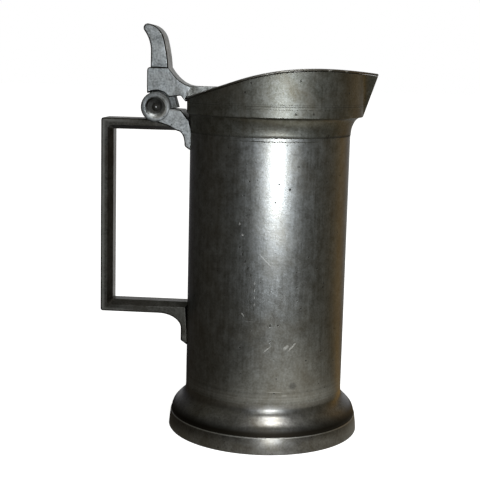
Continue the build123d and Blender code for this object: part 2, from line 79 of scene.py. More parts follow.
# Sizes the frame's boxes don't tell, the same as in the CAD
TURNED_LINE_Z = 169.8
COLLAR_BAND = 4.6
COVE_LIP = 0.2
MOUTH_WALL = 2.2
RIM_REAR_RISE = 2.3
RIM_SLOPE = math.radians(18.6)
CREST_RADIUS = 135.0
BEAK_TIP_DROP = 2.1
KEEL_LEAN = math.radians(18.2)
KEEL_THICKENING = 1.3
BEAK_HALF_FOOT = 3.5
BEAK_HALF_TOP = 13.0
BEAK_HOLLOW = 1.1
BEAK_WALL = 1.9
LID_GAP = 0.3
LID_TOP_LIFT = 1.5
KNUCKLE_RADIUS = 8.5
TONGUE_RADIUS = 6.2
TONGUE_HALF = 5.0
TONGUE_NOSE = 11.6
PIN_RADIUS = 2.5
DISH_RADIUS = 5.9
DISH_DEPTH = 2.6
BLOCK_BACK = 5.4
BLOCK_FRONT = 6.7
BLOCK_CORNER = 1.8
ARCH_GAP = 0.7
ARCH_SHARE = 0.78
STRAP_FOOT_HEIGHT = 12.1
STRAP_FOOT_HALF = 5.5
STRAP_WAIST = 1.8
STRAP_HEEL = 2.7
STRAP_HEEL_DROP = 2.2
THUMB_SETBACK = 2.0
THUMB_CURL = 3.8
THUMB_CURL_HEIGHT = 11.3
THUMB_TIP_WIDTH = 2.3
THUMB_TIP_HEIGHT = 3.9
THUMB_LEAN = 2.7
THUMB_BROW_DROP = 7.9
HANDLE_FOOT = 66.0
HANDLE_DEPTH = 6.4
HANDLE_CORNER = 1.4
HANDLE_BEVEL_WIDTH = 5.0
HANDLE_BEVEL_DEPTH = 2.4
LOWER_TAIL_SETBACK = 3.0
LOWER_TAIL_RUN = 13.0
LOWER_TAIL_RISE = 8.5
BRACKET_TAIL_RUN = 4.1
BRACKET_TAIL_RISE = 7.5

# A hair less than the CAD's 0.2, so that the lid stays within the CAD's box
LID_OVERHANG = 0.19

# Sizes that follow from the ones above
BAND_LOW = LEDGE_Z - COLLAR_BAND
BEAK_TIP_Z = RIM_TOP - BEAK_TIP_DROP
crest_rise = CREST_RADIUS * (1 - math.cos(RIM_SLOPE))
slope_run = (RIM_TOP - LEDGE_Z - RIM_REAR_RISE - crest_rise) / math.tan(RIM_SLOPE)
CREST_END_X = MOUTH_X - MOUTH_RADIUS + slope_run + CREST_RADIUS * math.sin(RIM_SLOPE)
DIP_RADIUS = ((BEAK_TIP_X - CREST_END_X) ** 2 + BEAK_TIP_DROP**2) / (2 * BEAK_TIP_DROP)

# The wall and the beak are drawn up to just under the lid, so no dark slit shows between them
RIM_SEAT = 0.2


def rim_height(x, lift=0.0):
    """Height of the rim line over x, lifted square to itself: slope, crest arc, flatter arc to the tip."""
    crest = CREST_RADIUS + lift
    crest_x = CREST_END_X - crest * math.sin(RIM_SLOPE)
    slope = RIM_TOP - CREST_RADIUS + crest * math.cos(RIM_SLOPE) + (x - crest_x) * math.tan(RIM_SLOPE)
    radius = np.where(x < CREST_END_X, CREST_RADIUS, DIP_RADIUS)
    reach = np.minimum(np.abs(x - CREST_END_X), 60.0)
    arc = RIM_TOP - radius + np.sqrt((radius + lift) ** 2 - reach**2)
    return np.where(x < crest_x, slope, arc)


def arc_points(centre, radii, start, end, steps):
    """Points on an elliptical arc from one angle to another, in degrees."""
    angle = np.radians(np.linspace(start, end, steps))
    return np.stack([centre[0] + radii[0] * np.cos(angle), centre[1] + radii[1] * np.sin(angle)], axis=1)


def tangent_arc(start, heading, end, steps=12):
    """Points of the circular arc that leaves start along heading and reaches end, and its last heading."""
    chord = np.subtract(end, start)
    normal = np.array([-heading[1], heading[0]])
    radius = chord @ chord / (2 * chord @ normal)
    centre = start + normal * radius
    turn = 2 * math.atan2(chord @ normal, chord @ heading)
    angle = np.linspace(0, turn, steps)[:, None]
    points = centre - radius * (np.cos(angle) * normal - np.sin(angle) * np.array(heading))
    return points, math.cos(turn) * np.array(heading) + math.sin(turn) * normal


def rounded(points, radii, steps=5, guard=0.25):
    """A closed outline with its corners rounded, and a guard point beside each arc to keep flats flat."""
    points = np.array(points, float)
    radii = np.broadcast_to(np.array(radii, float), len(points))
    pieces = []
    for corner, before, after, radius in zip(points, np.roll(points, 1, 0), np.roll(points, -1, 0), radii):
        if radius == 0:
            pieces.append(corner[None])
            continue
        to_before = (before - corner) / np.linalg.norm(before - corner)
        to_after = (after - corner) / np.linalg.norm(after - corner)
        half = math.acos(np.clip(to_before @ to_after, -1, 1)) / 2
        reach = radius / math.tan(half)
        curve = tangent_arc(corner + to_before * reach, -to_before, corner + to_after * reach, steps)[0]
        pieces.append(corner[None] + to_before * (reach + guard))
        pieces.append(curve)
        pieces.append(corner[None] + to_after * (reach + guard))
    return np.concatenate(pieces)


def inward(outline):
    """For a closed outline, the vector at each point that moves both its edges in by one millimetre."""
    before = outline - np.roll(outline, 1, 0)
    after = np.roll(outline, -1, 0) - outline
    area = np.sum(outline[:, 0] * np.roll(outline[:, 1], -1) - outline[:, 1] * np.roll(outline[:, 0], -1))
    turn = np.sign(area)
    normal_before = np.stack([-before[:, 1], before[:, 0]], 1) / np.linalg.norm(before, axis=1)[:, None]
    normal_after = np.stack([-after[:, 1], after[:, 0]], 1) / np.linalg.norm(after, axis=1)[:, None]
    dot = np.sum(normal_before * normal_after, axis=1)[:, None]
    return turn * (normal_before + normal_after) / np.maximum(1 + dot, 0.4)


def round_turn(steps):
    """Angles of one turn in equal steps."""
    return np.linspace(0, 2 * math.pi, steps, endpoint=False)


def turned(profile):
    """Rows of a turned piece: each profile point (radius, height) swept once round the Z axis."""
    angle = round_turn(256)
    radius = profile[:, 0][:, None]
    height = np.broadcast_to(profile[:, 1][:, None], (len(profile), len(angle)))
    return np.stack([radius * np.cos(angle), radius * np.sin(angle), height], axis=2)


def slab(outline, half_width, ease, bevel=None, bevel_width=1.0, bevel_depth=0.0):
    """Rows of a plate across Y: the XZ outline, drawn in along a quarter circle towards both sides.

    Where bevel is 1 the outline instead draws in evenly over bevel_width next to each side.
    """
    if bevel is None:
        bevel = np.zeros(len(outline))
    angle = np.radians(np.linspace(0, 90, 5))
    y = np.concatenate([[-half_width], -half_width + ease * (1 - np.cos(angle)), [-half_width + ease + 0.3]])
    on_face = np.array([0.3, 0, 0, 0, 0, 0, 0])
    drawn = np.concatenate([[ease], ease * (1 - np.sin(angle)), [0]])
    if bevel_depth:
        crease = -half_width + bevel_width
        y = np.concatenate([y, [crease - 0.2, crease, crease + 0.2]])
        on_face = np.concatenate([on_face, [0, 0, 0]])
        drawn = np.concatenate([drawn, [0, 0, 0]])
    y = np.concatenate([y, -y[::-1]])
    on_face = np.concatenate([on_face, on_face[::-1]])[:, None]
    drawn = np.concatenate([drawn, drawn[::-1]])[:, None]
    cut = bevel_depth * np.clip((np.abs(y) - half_width + bevel_width) / bevel_width, 0, 1)[:, None]
    draw = on_face + drawn * (1 - bevel) + cut * bevel
    flat = outline[None] + draw[..., None] * inward(outline)[None]
    return np.stack([flat[..., 0], np.broadcast_to(y[:, None], draw.shape), flat[..., 1]], axis=2)


def edge_wear(rows, level):
    """Wear for a slab: the given level on its rounded edges and none on its faces."""
    wear_and_light = np.zeros((len(rows), 1))
    wear_and_light[[2, 3, 4, -5, -4, -3]] = level
    return wear_and_light


def box_sections(x, half, low, high, ease):
    """Closed sections square to X: at each x a rectangle with rounded corners and guarded flats."""
    ease = np.minimum(ease, np.minimum(half, (high - low) / 2) * 0.75)[:, None]
    angle = np.radians(np.linspace(0, 90, 5))
    corner = np.array([(1, -0.3), *zip(np.cos(angle), np.sin(angle)), (-0.3, 1)])
    parts = []
    for side, level in ((1, 1), (-1, 1), (-1, -1), (1, -1)):
        across = side * (half[:, None] - ease) + ease * corner[:, 0]
        middle = high[:, None] - ease if level > 0 else low[:, None] + ease
        parts.append(np.stack([x[:, None] + 0 * across, across, middle + ease * corner[:, 1]], axis=2))
        corner = np.stack([-corner[:, 1], corner[:, 0]], axis=1)
    return np.concatenate(parts, axis=1)


def make_piece(name, rows, body, material, stands_for=(), joined=False, wear_and_light=0.0):
    """One closed piece from rows of points in millimetres. Each row closes on itself.

    The last row runs on into the first when joined, and otherwise both ends get a flat face. Wear and
    painted light are written on the points: towards 1 where hands and cloths rub the metal bright or a
    highlight is painted, towards -1 where grime stays or shade is painted.
    """
    count, around = rows.shape[:2]
    index = np.arange(count * around).reshape(count, around)
    beside = np.roll(index, -1, axis=1)
    above = np.roll(index, -1, axis=0)
    above_beside = np.roll(beside, -1, axis=0)
    last = count if joined else count - 1
    quads = np.stack([index, beside, above_beside, above], axis=-1)[:last].reshape(-1, 4)
    points = rows.reshape(-1, 3) * MM
    a, b, c, d = (points[quads[:, k]] for k in range(4))
    volume = np.sum(a * np.cross(b, c)) + np.sum(a * np.cross(c, d))
    caps = [] if joined else [index[0][::-1], index[-1]]
    for cap in caps:
        middle = points[cap].mean(0)
        volume += np.sum(middle * np.cross(points[cap], points[np.roll(cap, -1)]))
    faces = quads.tolist() + [cap.tolist() for cap in caps]
    if volume < 0:
        faces = [face[::-1] for face in faces]
    mesh = bpy.data.meshes.new(name)
    mesh.from_pydata(points.tolist(), [], faces)
    mesh.polygons.foreach_set("use_smooth", np.ones(len(faces), bool))
    mesh.set_sharp_from_angle(angle=math.radians(32))
    worn = mesh.attributes.new("wear_and_light", "FLOAT", "POINT")
    worn.data.foreach_set("value", np.broadcast_to(wear_and_light, (count, around)).ravel().astype(np.float32))
    mesh.materials.append(material)
    mesh.update()
    piece = bpy.data.objects.new(name, mesh)
    bpy.context.scene.collection.objects.link(piece)
    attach(piece, body)
    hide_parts(*stands_for)
    return piece


def colour(text):
    """A colour written as a six-digit sRGB hex text, as linear red, green, blue and alpha."""
    parts = np.array([int(text[k:k + 2], 16) for k in (0, 2, 4)]) / 255
    linear = np.where(parts <= 0.04045, parts / 12.92, ((parts + 0.055) / 1.055) ** 2.4)
    return (*linear.tolist(), 1.0)


def add(tree, kind, inputs=None, **settings):
    """Add one node, set its properties, and set or link its sockets, which are named or numbered.

    A node given for a socket stands for its first output. A map range turns the span from 1 to 2 into
    the span from 3 to 4, and a colour mix runs from 6 to 7.
    """
    new = tree.nodes.new(kind)
    for key, value in settings.items():
        setattr(new, key, value)
    for key, value in (inputs or {}).items():
        if isinstance(value, bpy.types.Node):
            value = value.outputs[0]
        if isinstance(value, bpy.types.NodeSocket):
            tree.links.new(value, new.inputs[key])
        else:
            new.inputs[key].default_value = value
    return new


# Colours of rubbed metal and of grime, which also serve as painted highlight and painted shade
RUBBED_AND_HIGHLIGHT = colour("B4B3AC")
GRIME_AND_SHADE = colour("26231D")


def pewter(name, light, dark, stain, roughness, stained, pits, uneven, polish=0.0, rings=0.0, marks=()):
    """Old pewter: a soft grey tin alloy that dulls in blotches, stains brown and keeps every knock.

    Light and dark are the ends of its grey bloom, stain is the colour of its brown oxide and stained how
    much of it there is. Pits are small dark holes of casting and corrosion, uneven is how far the hammered
    or cast skin swells, polish the fine upright lines of a cloth and rings the lathe's. Each mark is a
    place, half sizes, a lean and a tone, bright above zero and dark below.
    """
    material = bpy.data.materials.new(name)
    material.use_nodes = True
    tree = material.node_tree
    tree.nodes.clear()
    place = add(tree, "ShaderNodeTexCoord").outputs["Object"]
    wear_and_light = add(tree, "ShaderNodeAttribute", attribute_name="wear_and_light").outputs["Fac"]
    for spot, half_sizes, lean, tone in marks:
        settings = {
            "Vector": place,
            "Location": tuple(value * MM for value in spot),
            "Rotation": (0, math.radians(lean), 0),
            "Scale": tuple(value * MM for value in half_sizes),
        }
        beside = add(tree, "ShaderNodeMapping", settings, vector_type="TEXTURE")
        away = add(tree, "ShaderNodeVectorMath", {0: beside}, operation="LENGTH").outputs["Value"]
        mark = add(tree, "ShaderNodeMapRange", {0: away, 1: 1.0, 2: 0.55, 3: 0.0, 4: tone})
        wear_and_light = add(tree, "ShaderNodeMath", {0: wear_and_light, 1: mark}, operation="ADD")

    # Broad swells of the skin, clouds of stain, patchy bloom and the grain of dull tin
    swell = add(tree, "ShaderNodeTexNoise", {"Vector": place, "Scale": 1 / (26 * MM), "Detail": 1.0})
    cloud_look = {"Scale": 1 / (17 * MM), "Detail": 5.0, "Roughness": 0.62, "Distortion": 0.6}
    cloud = add(tree, "ShaderNodeTexNoise", {"Vector": place, **cloud_look})
    bloom_look = {"Scale": 1 / (5 * MM), "Detail": 6.0, "Roughness": 0.68}
    bloom = add(tree, "ShaderNodeTexNoise", {"Vector": place, **bloom_look})
    grain = add(tree, "ShaderNodeTexNoise", {"Vector": place, "Scale": 1 / (1.1 * MM), "Detail": 3.0})
    # Cloth lines run upright and lathe lines run round, both drawn wider than the real ones
    upright = add(tree, "ShaderNodeMapping", {"Vector": place, "Scale": (1.0, 1.0, 0.05)})
    cloth = add(tree, "ShaderNodeTexNoise", {"Vector": upright, "Scale": 1 / (1.3 * MM), "Detail": 3.0})
    round_about = add(tree, "ShaderNodeMapping", {"Vector": place, "Scale": (0.04, 0.04, 1.0)})
    lathe = add(tree, "ShaderNodeTexNoise", {"Vector": round_about, "Scale": 1 / (0.9 * MM), "Detail": 3.0})

    # Pits: in some cells of a Voronoi pattern, a small dark hole of its own size
    cells = add(tree, "ShaderNodeTexVoronoi", {"Vector": place, "Scale": 1 / (3.4 * MM)})
    size_look = {0: cells.outputs["Color"], 1: 0.5, 2: 0.85, 3: 0.0, 4: 0.16 * pits}
    pit_size = add(tree, "ShaderNodeMapRange", size_look)
    from_centre = cells.outputs["Distance"]
    pit_reach = add(tree, "ShaderNodeMath", {0: pit_size, 1: from_centre}, operation="SUBTRACT")
    pit = add(tree, "ShaderNodeMapRange", {0: pit_reach, 1: 0.0, 2: 0.05, 3: 0.0, 4: 0.8})
    grime_and_shade = add(tree, "ShaderNodeMapRange", {0: wear_and_light, 1: 0.0, 2: -1.0, 3: 0.0, 4: 1.0})
    grime_and_shade = add(tree, "ShaderNodeMath", {0: grime_and_shade, 1: pit}, operation="MAXIMUM")
    rub_and_highlight = add(tree, "ShaderNodeMapRange", {0: wear_and_light, 1: 0.0, 2: 1.0, 3: 0.0, 4: 0.9})

    # Colour: mottled between light and dark, then stained, then rubbed bright or filled with grime, which
    # also lay painted highlights and painted shade where the points carry them
    mottle = add(tree, "ShaderNodeMath", {0: grain, 1: 0.9, 2: bloom}, operation="MULTIPLY_ADD")
    mottle = add(tree, "ShaderNodeMath", {0: cloth, 1: 0.3, 2: mottle}, operation="MULTIPLY_ADD")
    mottle = add(tree, "ShaderNodeMapRange", {0: mottle, 1: 0.85, 2: 1.35, 3: 0.0, 4: 1.0})
    grey = add(tree, "ShaderNodeMix", {0: mottle, 6: colour(dark), 7: colour(light)}, data_type="RGBA")
    stained_look = {0: cloud, 1: 0.42, 2: 0.68, 3: 0.0, 4: stained}
    tarnish = add(tree, "ShaderNodeMapRange", stained_look)
    grey = add(tree, "ShaderNodeMix", {0: tarnish, 6: grey.outputs[2], 7: colour(stain)}, data_type="RGBA")
    grey = add(tree, "ShaderNodeMix", {0: rub_and_highlight, 6: grey.outputs[2], 7: RUBBED_AND_HIGHLIGHT}, data_type="RGBA")
    grey = add(tree, "ShaderNodeMix", {0: grime_and_shade, 6: grey.outputs[2], 7: GRIME_AND_SHADE}, data_type="RGBA")

    # Dull where it bloomed or is dirty, and a little where fine scratches keep it bright
    rough = roughness - 0.11 - 0.06 * polish
    for source, share in ((bloom, 0.15), (cloth, 0.12 * polish), (cloud, 0.07), (grime_and_shade, 0.25), (rub_and_highlight, 0.22)):
        rough = add(tree, "ShaderNodeMath", {0: source, 1: share, 2: rough}, operation="MULTIPLY_ADD")
    # How far each pattern stands out of the skin or sinks into it, in millimetres
    heights = [
        (swell, uneven),
        (bloom, 0.2 * uneven),
        (grain, 0.008),
        (cloth, 0.006 * polish),
        (lathe, 0.02 * rings),
        (grime_and_shade, -0.04),
    ]
    relief = 0.0
    for source, height in heights:
        relief = add(tree, "ShaderNodeMath", {0: source, 1: height, 2: relief}, operation="MULTIPLY_ADD")
    bump = add(tree, "ShaderNodeBump", {"Height": relief, "Strength": 1.0, "Distance": MM})
    skin = {"Base Color": grey.outputs[2], "Metallic": 1.0, "Roughness": rough, "Normal": bump}
    if polish:
        skin["Anisotropic"] = 0.62 * polish
        skin["Tangent"] = add(tree, "ShaderNodeTangent", direction_type="RADIAL", axis="Z")
    shader = add(tree, "ShaderNodeBsdfPrincipled", skin)
    add(tree, "ShaderNodeOutputMaterial", {"Surface": shader})
    return material


def front_mark(x, z, half_width, half_length, lean, tone):
    """A mark on the front of the drum, at x and height z, leaning from upright."""
    return (x, -math.sqrt(DRUM_RADIUS**2 - x**2), z), (half_width, 2.5, half_length), lean, tone


# Knocks and scratches of use on the front of the drum
drum_marks = [
    front_mark(-12.3, 125.3, 0.55, 0.9, 20, 1.3),
    front_mark(-10.5, 119.4, 0.6, 0.6, 0, 1.5),
    front_mark(2.3, 106.0, 0.35, 4.6, -45, 1.2),
    front_mark(17.9, 58.0, 0.5, 3.6, 42, 2.5),
    front_mark(14.6, 57.9, 1.1, 2.2, 50, 0.9),
    front_mark(4.5, 57.0, 0.35, 3.2, 48, 1.0),
    front_mark(-9.5, 75.7, 0.4, 1.6, -40, 1.2),
    front_mark(-8.0, 130.2, 0.35, 2.2, 70, -0.7),
    front_mark(-18.4, 132.4, 3.6, 2.4, 0, -0.2),
    front_mark(-3.7, 157.5, 3.5, 2.0, 0, -0.15),
    front_mark(18.6, 163.1, 6.0, 0.9, 4, -0.25),
    front_mark(18.9, 35.9, 2.8, 2.4, 0, -0.35),
    front_mark(-16.4, 24.8, 1.6, 0.8, 0, -0.7),
    front_mark(-6.0, 72.6, 2.6, 0.7, 0, -0.5),
    front_mark(14.2, 144.5, 0.8, 0.8, 0, -0.8),
    front_mark(18.5, 156.8, 1.1, 0.6, 0, -0.6),
    front_mark(22.0, 79.4, 0.7, 0.7, 0, -0.8),
    front_mark(5.7, 70.1, 0.6, 0.9, 0, -0.8),
    front_mark(9.5, 32.6, 5.5, 0.35, 2, 0.8),
    front_mark(14.5, 30.6, 2.0, 0.6, 2, 0.6),
]
drum_marks += [front_mark(-12.0 + 1.6 * step, 112.7 - 3.8 * step, 0.35, 1.1, 15, -0.9) for step in range(5)]
drum_marks += [front_mark(-3.2, 93.5 - 4.0 * step, 0.3, 1.1, 0, 0.9) for step in range(4)]

drum_metal = pewter(
    "worn_polished_pewter",
    light="979996",
    dark="787873",
    stain="6C6554",
    roughness=0.34,
    stained=0.4,
    pits=1.1,
    uneven=0.18,
    polish=1.0,
    rings=0.5,
    marks=drum_marks,
)
# Fine lathe lines on the mouth wall and a few knocks below its rim
mouth_marks = [
    ((0.0, 0.0, 188.5), (400.0, 400.0, 0.25), 0, -0.4),
    ((0.0, 0.0, 189.5), (400.0, 400.0, 0.2), 0, -0.25),
    ((-7.7, -49.0, 200.6), (0.5, 2.5, 0.9), 0, -0.8),
    ((18.3, -47.0, 202.2), (0.4, 2.5, 1.0), 10, -0.7),
    ((25.6, -44.5, 185.0), (0.5, 2.5, 1.1), 0, -0.8),
    ((9.0, -49.6, 196.5), (3.0, 2.5, 0.3), -20, 0.5),
]
turned_metal = pewter(
    "worn_turned_pewter",
    light="8B8C85",
    dark="67675D",
    stain="605847",
    roughness=0.43,
    stained=0.5,
    pits=1.3,
    uneven=0.16,
    polish=0.7,
    rings=1.0,
    marks=mouth_marks,
)
foot_metal = pewter(
    "smooth_turned_pewter",
    light="8C8C88",
    dark="686764",
    stain="5C543F",
    roughness=0.31,
    stained=0.5,
    pits=1.0,
    uneven=0.06,
    polish=0.1,
    rings=0.6,
)
sheet_metal = pewter(
    "worn_sheet_pewter",
    light="8B8982",
    dark="6C6A63",
    stain="5C5444",
    roughness=0.46,
    stained=0.5,
    pits=0.8,
    uneven=0.12,
)
handle_metal = pewter(
    "dark_cast_pewter",
    light="6E6D67",
    dark="46453F",
    stain="40392E",
    roughness=0.42,
    stained=0.6,
    pits=0.8,
    uneven=0.3,
)
hinge_metal = pewter(
    "pale_cast_pewter",
    light="D2D6D5",
    dark="7F8382",
    stain="6E685C",
    roughness=0.48,
    stained=0.5,
    pits=1.1,
    uneven=0.6,
)

# Drum: a turned tube with one scribed line, nearly rubbed away
line_depth = 0.06
line_half_width = 0.3
drum_profile = rounded(
    [
        (BORE_RADIUS, drum_low[2]),
        (DRUM_RADIUS, drum_low[2]),
        (DRUM_RADIUS, TURNED_LINE_Z - line_half_width),
        (DRUM_RADIUS - line_depth, TURNED_LINE_Z),
        (DRUM_RADIUS, TURNED_LINE_Z + line_half_width),
        (DRUM_RADIUS, LEDGE_Z),
        (BORE_RADIUS, LEDGE_Z),
    ],
    [0, 0, 0.1, 0.08, 0.1, 0, 0.6],
    steps=3,
    guard=0.1,
)
# Above the foot the drum keeps the fine lines of its last turning, each at a height and with a tone,
# over a faint painted sheen round the middle of the band they lie in
turned_lines = [
    (24.3, 0.15),
    (26.1, -0.2),
    (27.3, 0.15),
    (28.5, 0.3),
    (30.3, 0.2),
    (31.8, -0.2),
    (33.4, 0.15),
]
turning_z = np.arange(21.0, 38.0, 0.3)
# A faint painted sheen brightens the band round its middle
turning_lines_and_sheen = 0.1 * np.clip(1 - np.abs(turning_z - 28) / 8, 0, 1)
for line_z, tone in turned_lines:
    turning_lines_and_sheen += tone * np.exp(-(((turning_z - line_z) / 0.3) ** 2))
turning_rows = np.stack([np.full(len(turning_z), DRUM_RADIUS), turning_z], axis=1)
drum_profile = np.insert(drum_profile, 2, turning_rows, axis=0)
drum_lines_and_sheen = np.interp(drum_profile[:, 1], turning_z, turning_lines_and_sheen, left=0, right=0)
drum_lines_and_sheen *= drum_profile[:, 0] > BORE_RADIUS + 1
make_piece(
    "drum_tube",
    turned(drum_profile),
    "vessel",
    drum_metal,
    ["drum"],
    joined=True,
    wear_and_light=drum_lines_and_sheen[:, None],
)


def through(points, steps=6):
    """A smooth line through all the points: Catmull-Rom curves, with the end slopes doubled up."""
    points = np.array(points, float)
    padded = np.concatenate([points[:1], points, points[-1:]])
    before, start, end, after = padded[:-3], padded[1:-2], padded[2:-1], padded[3:]
    t = np.linspace(0, 1, steps, endpoint=False)[None, :, None]
    bend = 2 * before - 5 * start + 4 * end - after
    twist = 3 * (start - end) + after - before
    curve = start[:, None] + 0.5 * t * ((end - before)[:, None] + t * (bend[:, None] + t * twist[:, None]))
    return np.concatenate([curve.reshape(-1, points.shape[1]), points[-1:]])


# Foot: a leaning band, a fine step, a full shoulder, and a hollow sweep that dies into the drum.
# Each point is the distance in from the foot's radius, the height, and the wear and painted light there.
foot_band = [
    (0.3, 0.0, -0.5),
    (0.0, 0.4, -0.15),
    (0.3, 4.0, -0.15),
    (0.9, 8.8, -0.15),
    # The step's edge is painted bright, partly rubbing wear and partly a painted highlight
    (1.02, 9.1, 0.7),
    (1.3, 9.3, 0.5),
]
foot_sweep = [
    # Painted shade darkens the hollow over the step, below the shoulder
    (1.45, 9.6, -1.0),
    (1.75, 11.5, -1.0),
    (2.8, 14.0, -0.6),
    (4.9, 16.4, 0.0),
    (7.45, 18.8, 0.0),
    (8.75, 20.5, 0.1),
    (9.42, 22.2, 0.15),
    (9.66, 24.2, 0.15),
    (9.72, 26.5, 0.15),
]
foot_inside = [(11.1, 23.0, 0.0), (11.1, 7.4, 0.0), (3.4, 0.6, -0.5), (2.9, 0.0, -0.5)]
foot_points = np.concatenate([foot_band, through(foot_sweep), foot_inside])
foot_profile = np.stack([FOOT_RADIUS - foot_points[:, 0], foot_points[:, 1]], axis=1)
make_piece(
    "foot_shell",
    turned(foot_profile),
    "vessel",
    foot_metal,
    ["foot_ring"],
    joined=True,
    wear_and_light=foot_points[:, 2:],
)

# Collar: an upright band over a hollow cove. As photographed, the band is flush with the mouth wall, so
# its rows are drawn from the drum's circle below to the wall's, which sits nearer the beak, above.
cove_low = collar_low[2]
collar_bore = DRUM_RADIUS - 0.6
band_round = 0.45
ledge_round = 0.12
cove = arc_points(
    (COLLAR_RADIUS - 0.5, cove_low + COVE_LIP),
    (COLLAR_RADIUS - DRUM_RADIUS - 0.7, BAND_LOW - cove_low - COVE_LIP),
    178,
    92,
    16,
)
band_foot = arc_points(
    (COLLAR_RADIUS - band_round, BAND_LOW + band_round), (band_round, band_round), -70, 0, 5
)
ledge_edge = arc_points(
    (COLLAR_RADIUS - ledge_round, LEDGE_Z - ledge_round), (ledge_round, ledge_round), 0, 90, 3
)
collar_profile = np.concatenate(
    [
        [(collar_bore, cove_low)],
        [(DRUM_RADIUS + 0.05, cove_low)],
        cove,
        band_foot,
        [(COLLAR_RADIUS, BAND_LOW + 0.8)],
        [(COLLAR_RADIUS, LEDGE_Z - 0.25)],
        ledge_edge,
        [(COLLAR_RADIUS - 0.6, LEDGE_Z)],
        [(collar_bore, LEDGE_Z)],
    ]
)
flare = np.clip((collar_profile[:, 0] - DRUM_RADIUS) / (COLLAR_RADIUS - DRUM_RADIUS), 0, 1)
collar_profile[:, 0] -= MOUTH_X * flare
collar_rows = turned(collar_profile)
collar_rows[..., 0] += MOUTH_X * flare[:, None]
# Darker against the drum, and painted shade in the corner under the band
cove_end = 2 + len(cove)
collar_darkening_and_shade = np.zeros((len(collar_profile), 1))
collar_darkening_and_shade[:3] = -0.6
collar_darkening_and_shade[cove_end - 4 : cove_end + 1] = -0.35
make_piece(
    "collar_shell",
    collar_rows,
    "vessel",
    turned_metal,
    ["collar_ring"],
    joined=True,
    wear_and_light=collar_darkening_and_shade,
)


def beak_half(height):
    """Half the beak's width where it leaves the mouth wall, at one height."""
    share = (height - BAND_LOW) / (RIM_TOP - BAND_LOW)
    return BEAK_HALF_FOOT + share * (BEAK_HALF_TOP - BEAK_HALF_FOOT)


def beak_line(height, inset, along, sunk):
    """Plan points of the beak at given heights: hollow flank, round tip, hollow flank.

    Along runs from -1 at one root to 1 at the other. Each flank is a straight line bent in by a parabola,
    the tip is eased into a curve by a smooth absolute value, and the roots are sunk into the wall.
    """
    half = beak_half(height) - inset
    root = MOUTH_X + np.sqrt((MOUTH_RADIUS - inset) ** 2 - half**2) - sunk
    tip = COLLAR_RADIUS + (height - BAND_LOW) * math.tan(KEEL_LEAN) - inset * KEEL_THICKENING
    eased = 0.003
    soft = (np.sqrt(along**2 + eased) - math.sqrt(eased)) / (math.sqrt(1 + eased) - math.sqrt(eased))
    bow = BEAK_HOLLOW * 4 * soft * (1 - soft)
    x = tip + (root - tip) * soft - bow * half / BEAK_HALF_TOP
    y = half * along - np.sign(along) * bow * 0.4
    return x, y


# Mouth wall: a short tube cut to the rim line, open in a V towards the beak
turn = np.linspace(0, 1, 241)[:, None]
lift_share = np.array([0, 0.25, 0.5, 0.75, 0.93, 0.985, 1, 1, 1, 1, 0.985, 0.93, 0.75, 0.5, 0.25, 0])[None]
wall_share = np.array([0, 0, 0, 0, 0, 0.04, 0.2, 0.4, 0.6, 0.8, 0.96, 1, 1, 1, 1, 1])[None]
wall_radius = MOUTH_RADIUS - MOUTH_WALL * wall_share
half_turn = np.full(wall_radius.shape, 0.2)
# The gap's width goes by the wall's height and the height by where the wall ends, so a few rounds settle it
for attempt in range(4):
    angle = half_turn + turn * (2 * math.pi - 2 * half_turn)
    wall_x = MOUTH_X + wall_radius * np.cos(angle)
    wall_z = LEDGE_Z + lift_share * (rim_height(wall_x, RIM_SEAT) - LEDGE_Z)
    half_turn = np.arcsin((beak_half(wall_z[:1]) - BEAK_WALL) / wall_radius)
wall_rows = np.stack([wall_x, wall_radius * np.sin(angle), wall_z], axis=2)
make_piece("mouth_ring", wall_rows, "vessel", turned_metal, ["mouth_wall"])

# Beak: two hollow flanks that meet in a leaning keel, open above to pour
along = np.linspace(-1, 1, 81)[:, None]
up_share = np.concatenate([np.linspace(0, 1, 14), np.linspace(1, 0, 10)])[None]
inset = np.where(np.arange(24) < 14, 0.0, BEAK_WALL)[None]
start_z = np.where(inset > 0, LEDGE_Z + BEAK_WALL, BAND_LOW)
beak_z = start_z + up_share * (RIM_TOP - start_z) + 0 * along
# Here too, the rim's height and the plan of the beak settle each other
for attempt in range(3):
    beak_x, beak_y = beak_line(beak_z, inset, along, 0.6)
    beak_z = start_z + up_share * (rim_height(beak_x, RIM_SEAT) - start_z)
beak_rows = np.stack([beak_x, beak_y, beak_z], axis=2)
make_piece("beak", beak_rows, "vessel", turned_metal, ["spout"])


def quarter_height(radius, beyond):
    """Height of a circle's quarter over its centre: the radius up to the centre, and less beyond it."""
    return np.sqrt(np.maximum(radius**2 - np.maximum(beyond, 0) ** 2, 0))


# Lid plate: a sheet bent to the rim line, round over the mouth and drawn out over the beak
half_sheet = (LID_TOP_LIFT - LID_GAP) / 2
plate_radius = MOUTH_RADIUS + LID_OVERHANG
root_turn = math.asin((beak_half(BEAK_TIP_Z) + LID_OVERHANG) / plate_radius)
nose_x, nose_y = beak_line(np.array(BEAK_TIP_Z), -LID_OVERHANG, np.linspace(-1, 1, 61), 0.0)
plate_turn = np.linspace(root_turn, 2 * math.pi - root_turn, 300)[1:-1]
plate_x = np.concatenate([nose_x, MOUTH_X + plate_radius * np.cos(plate_turn)])
plate_y = np.concatenate([nose_y, plate_radius * np.sin(plate_turn)])
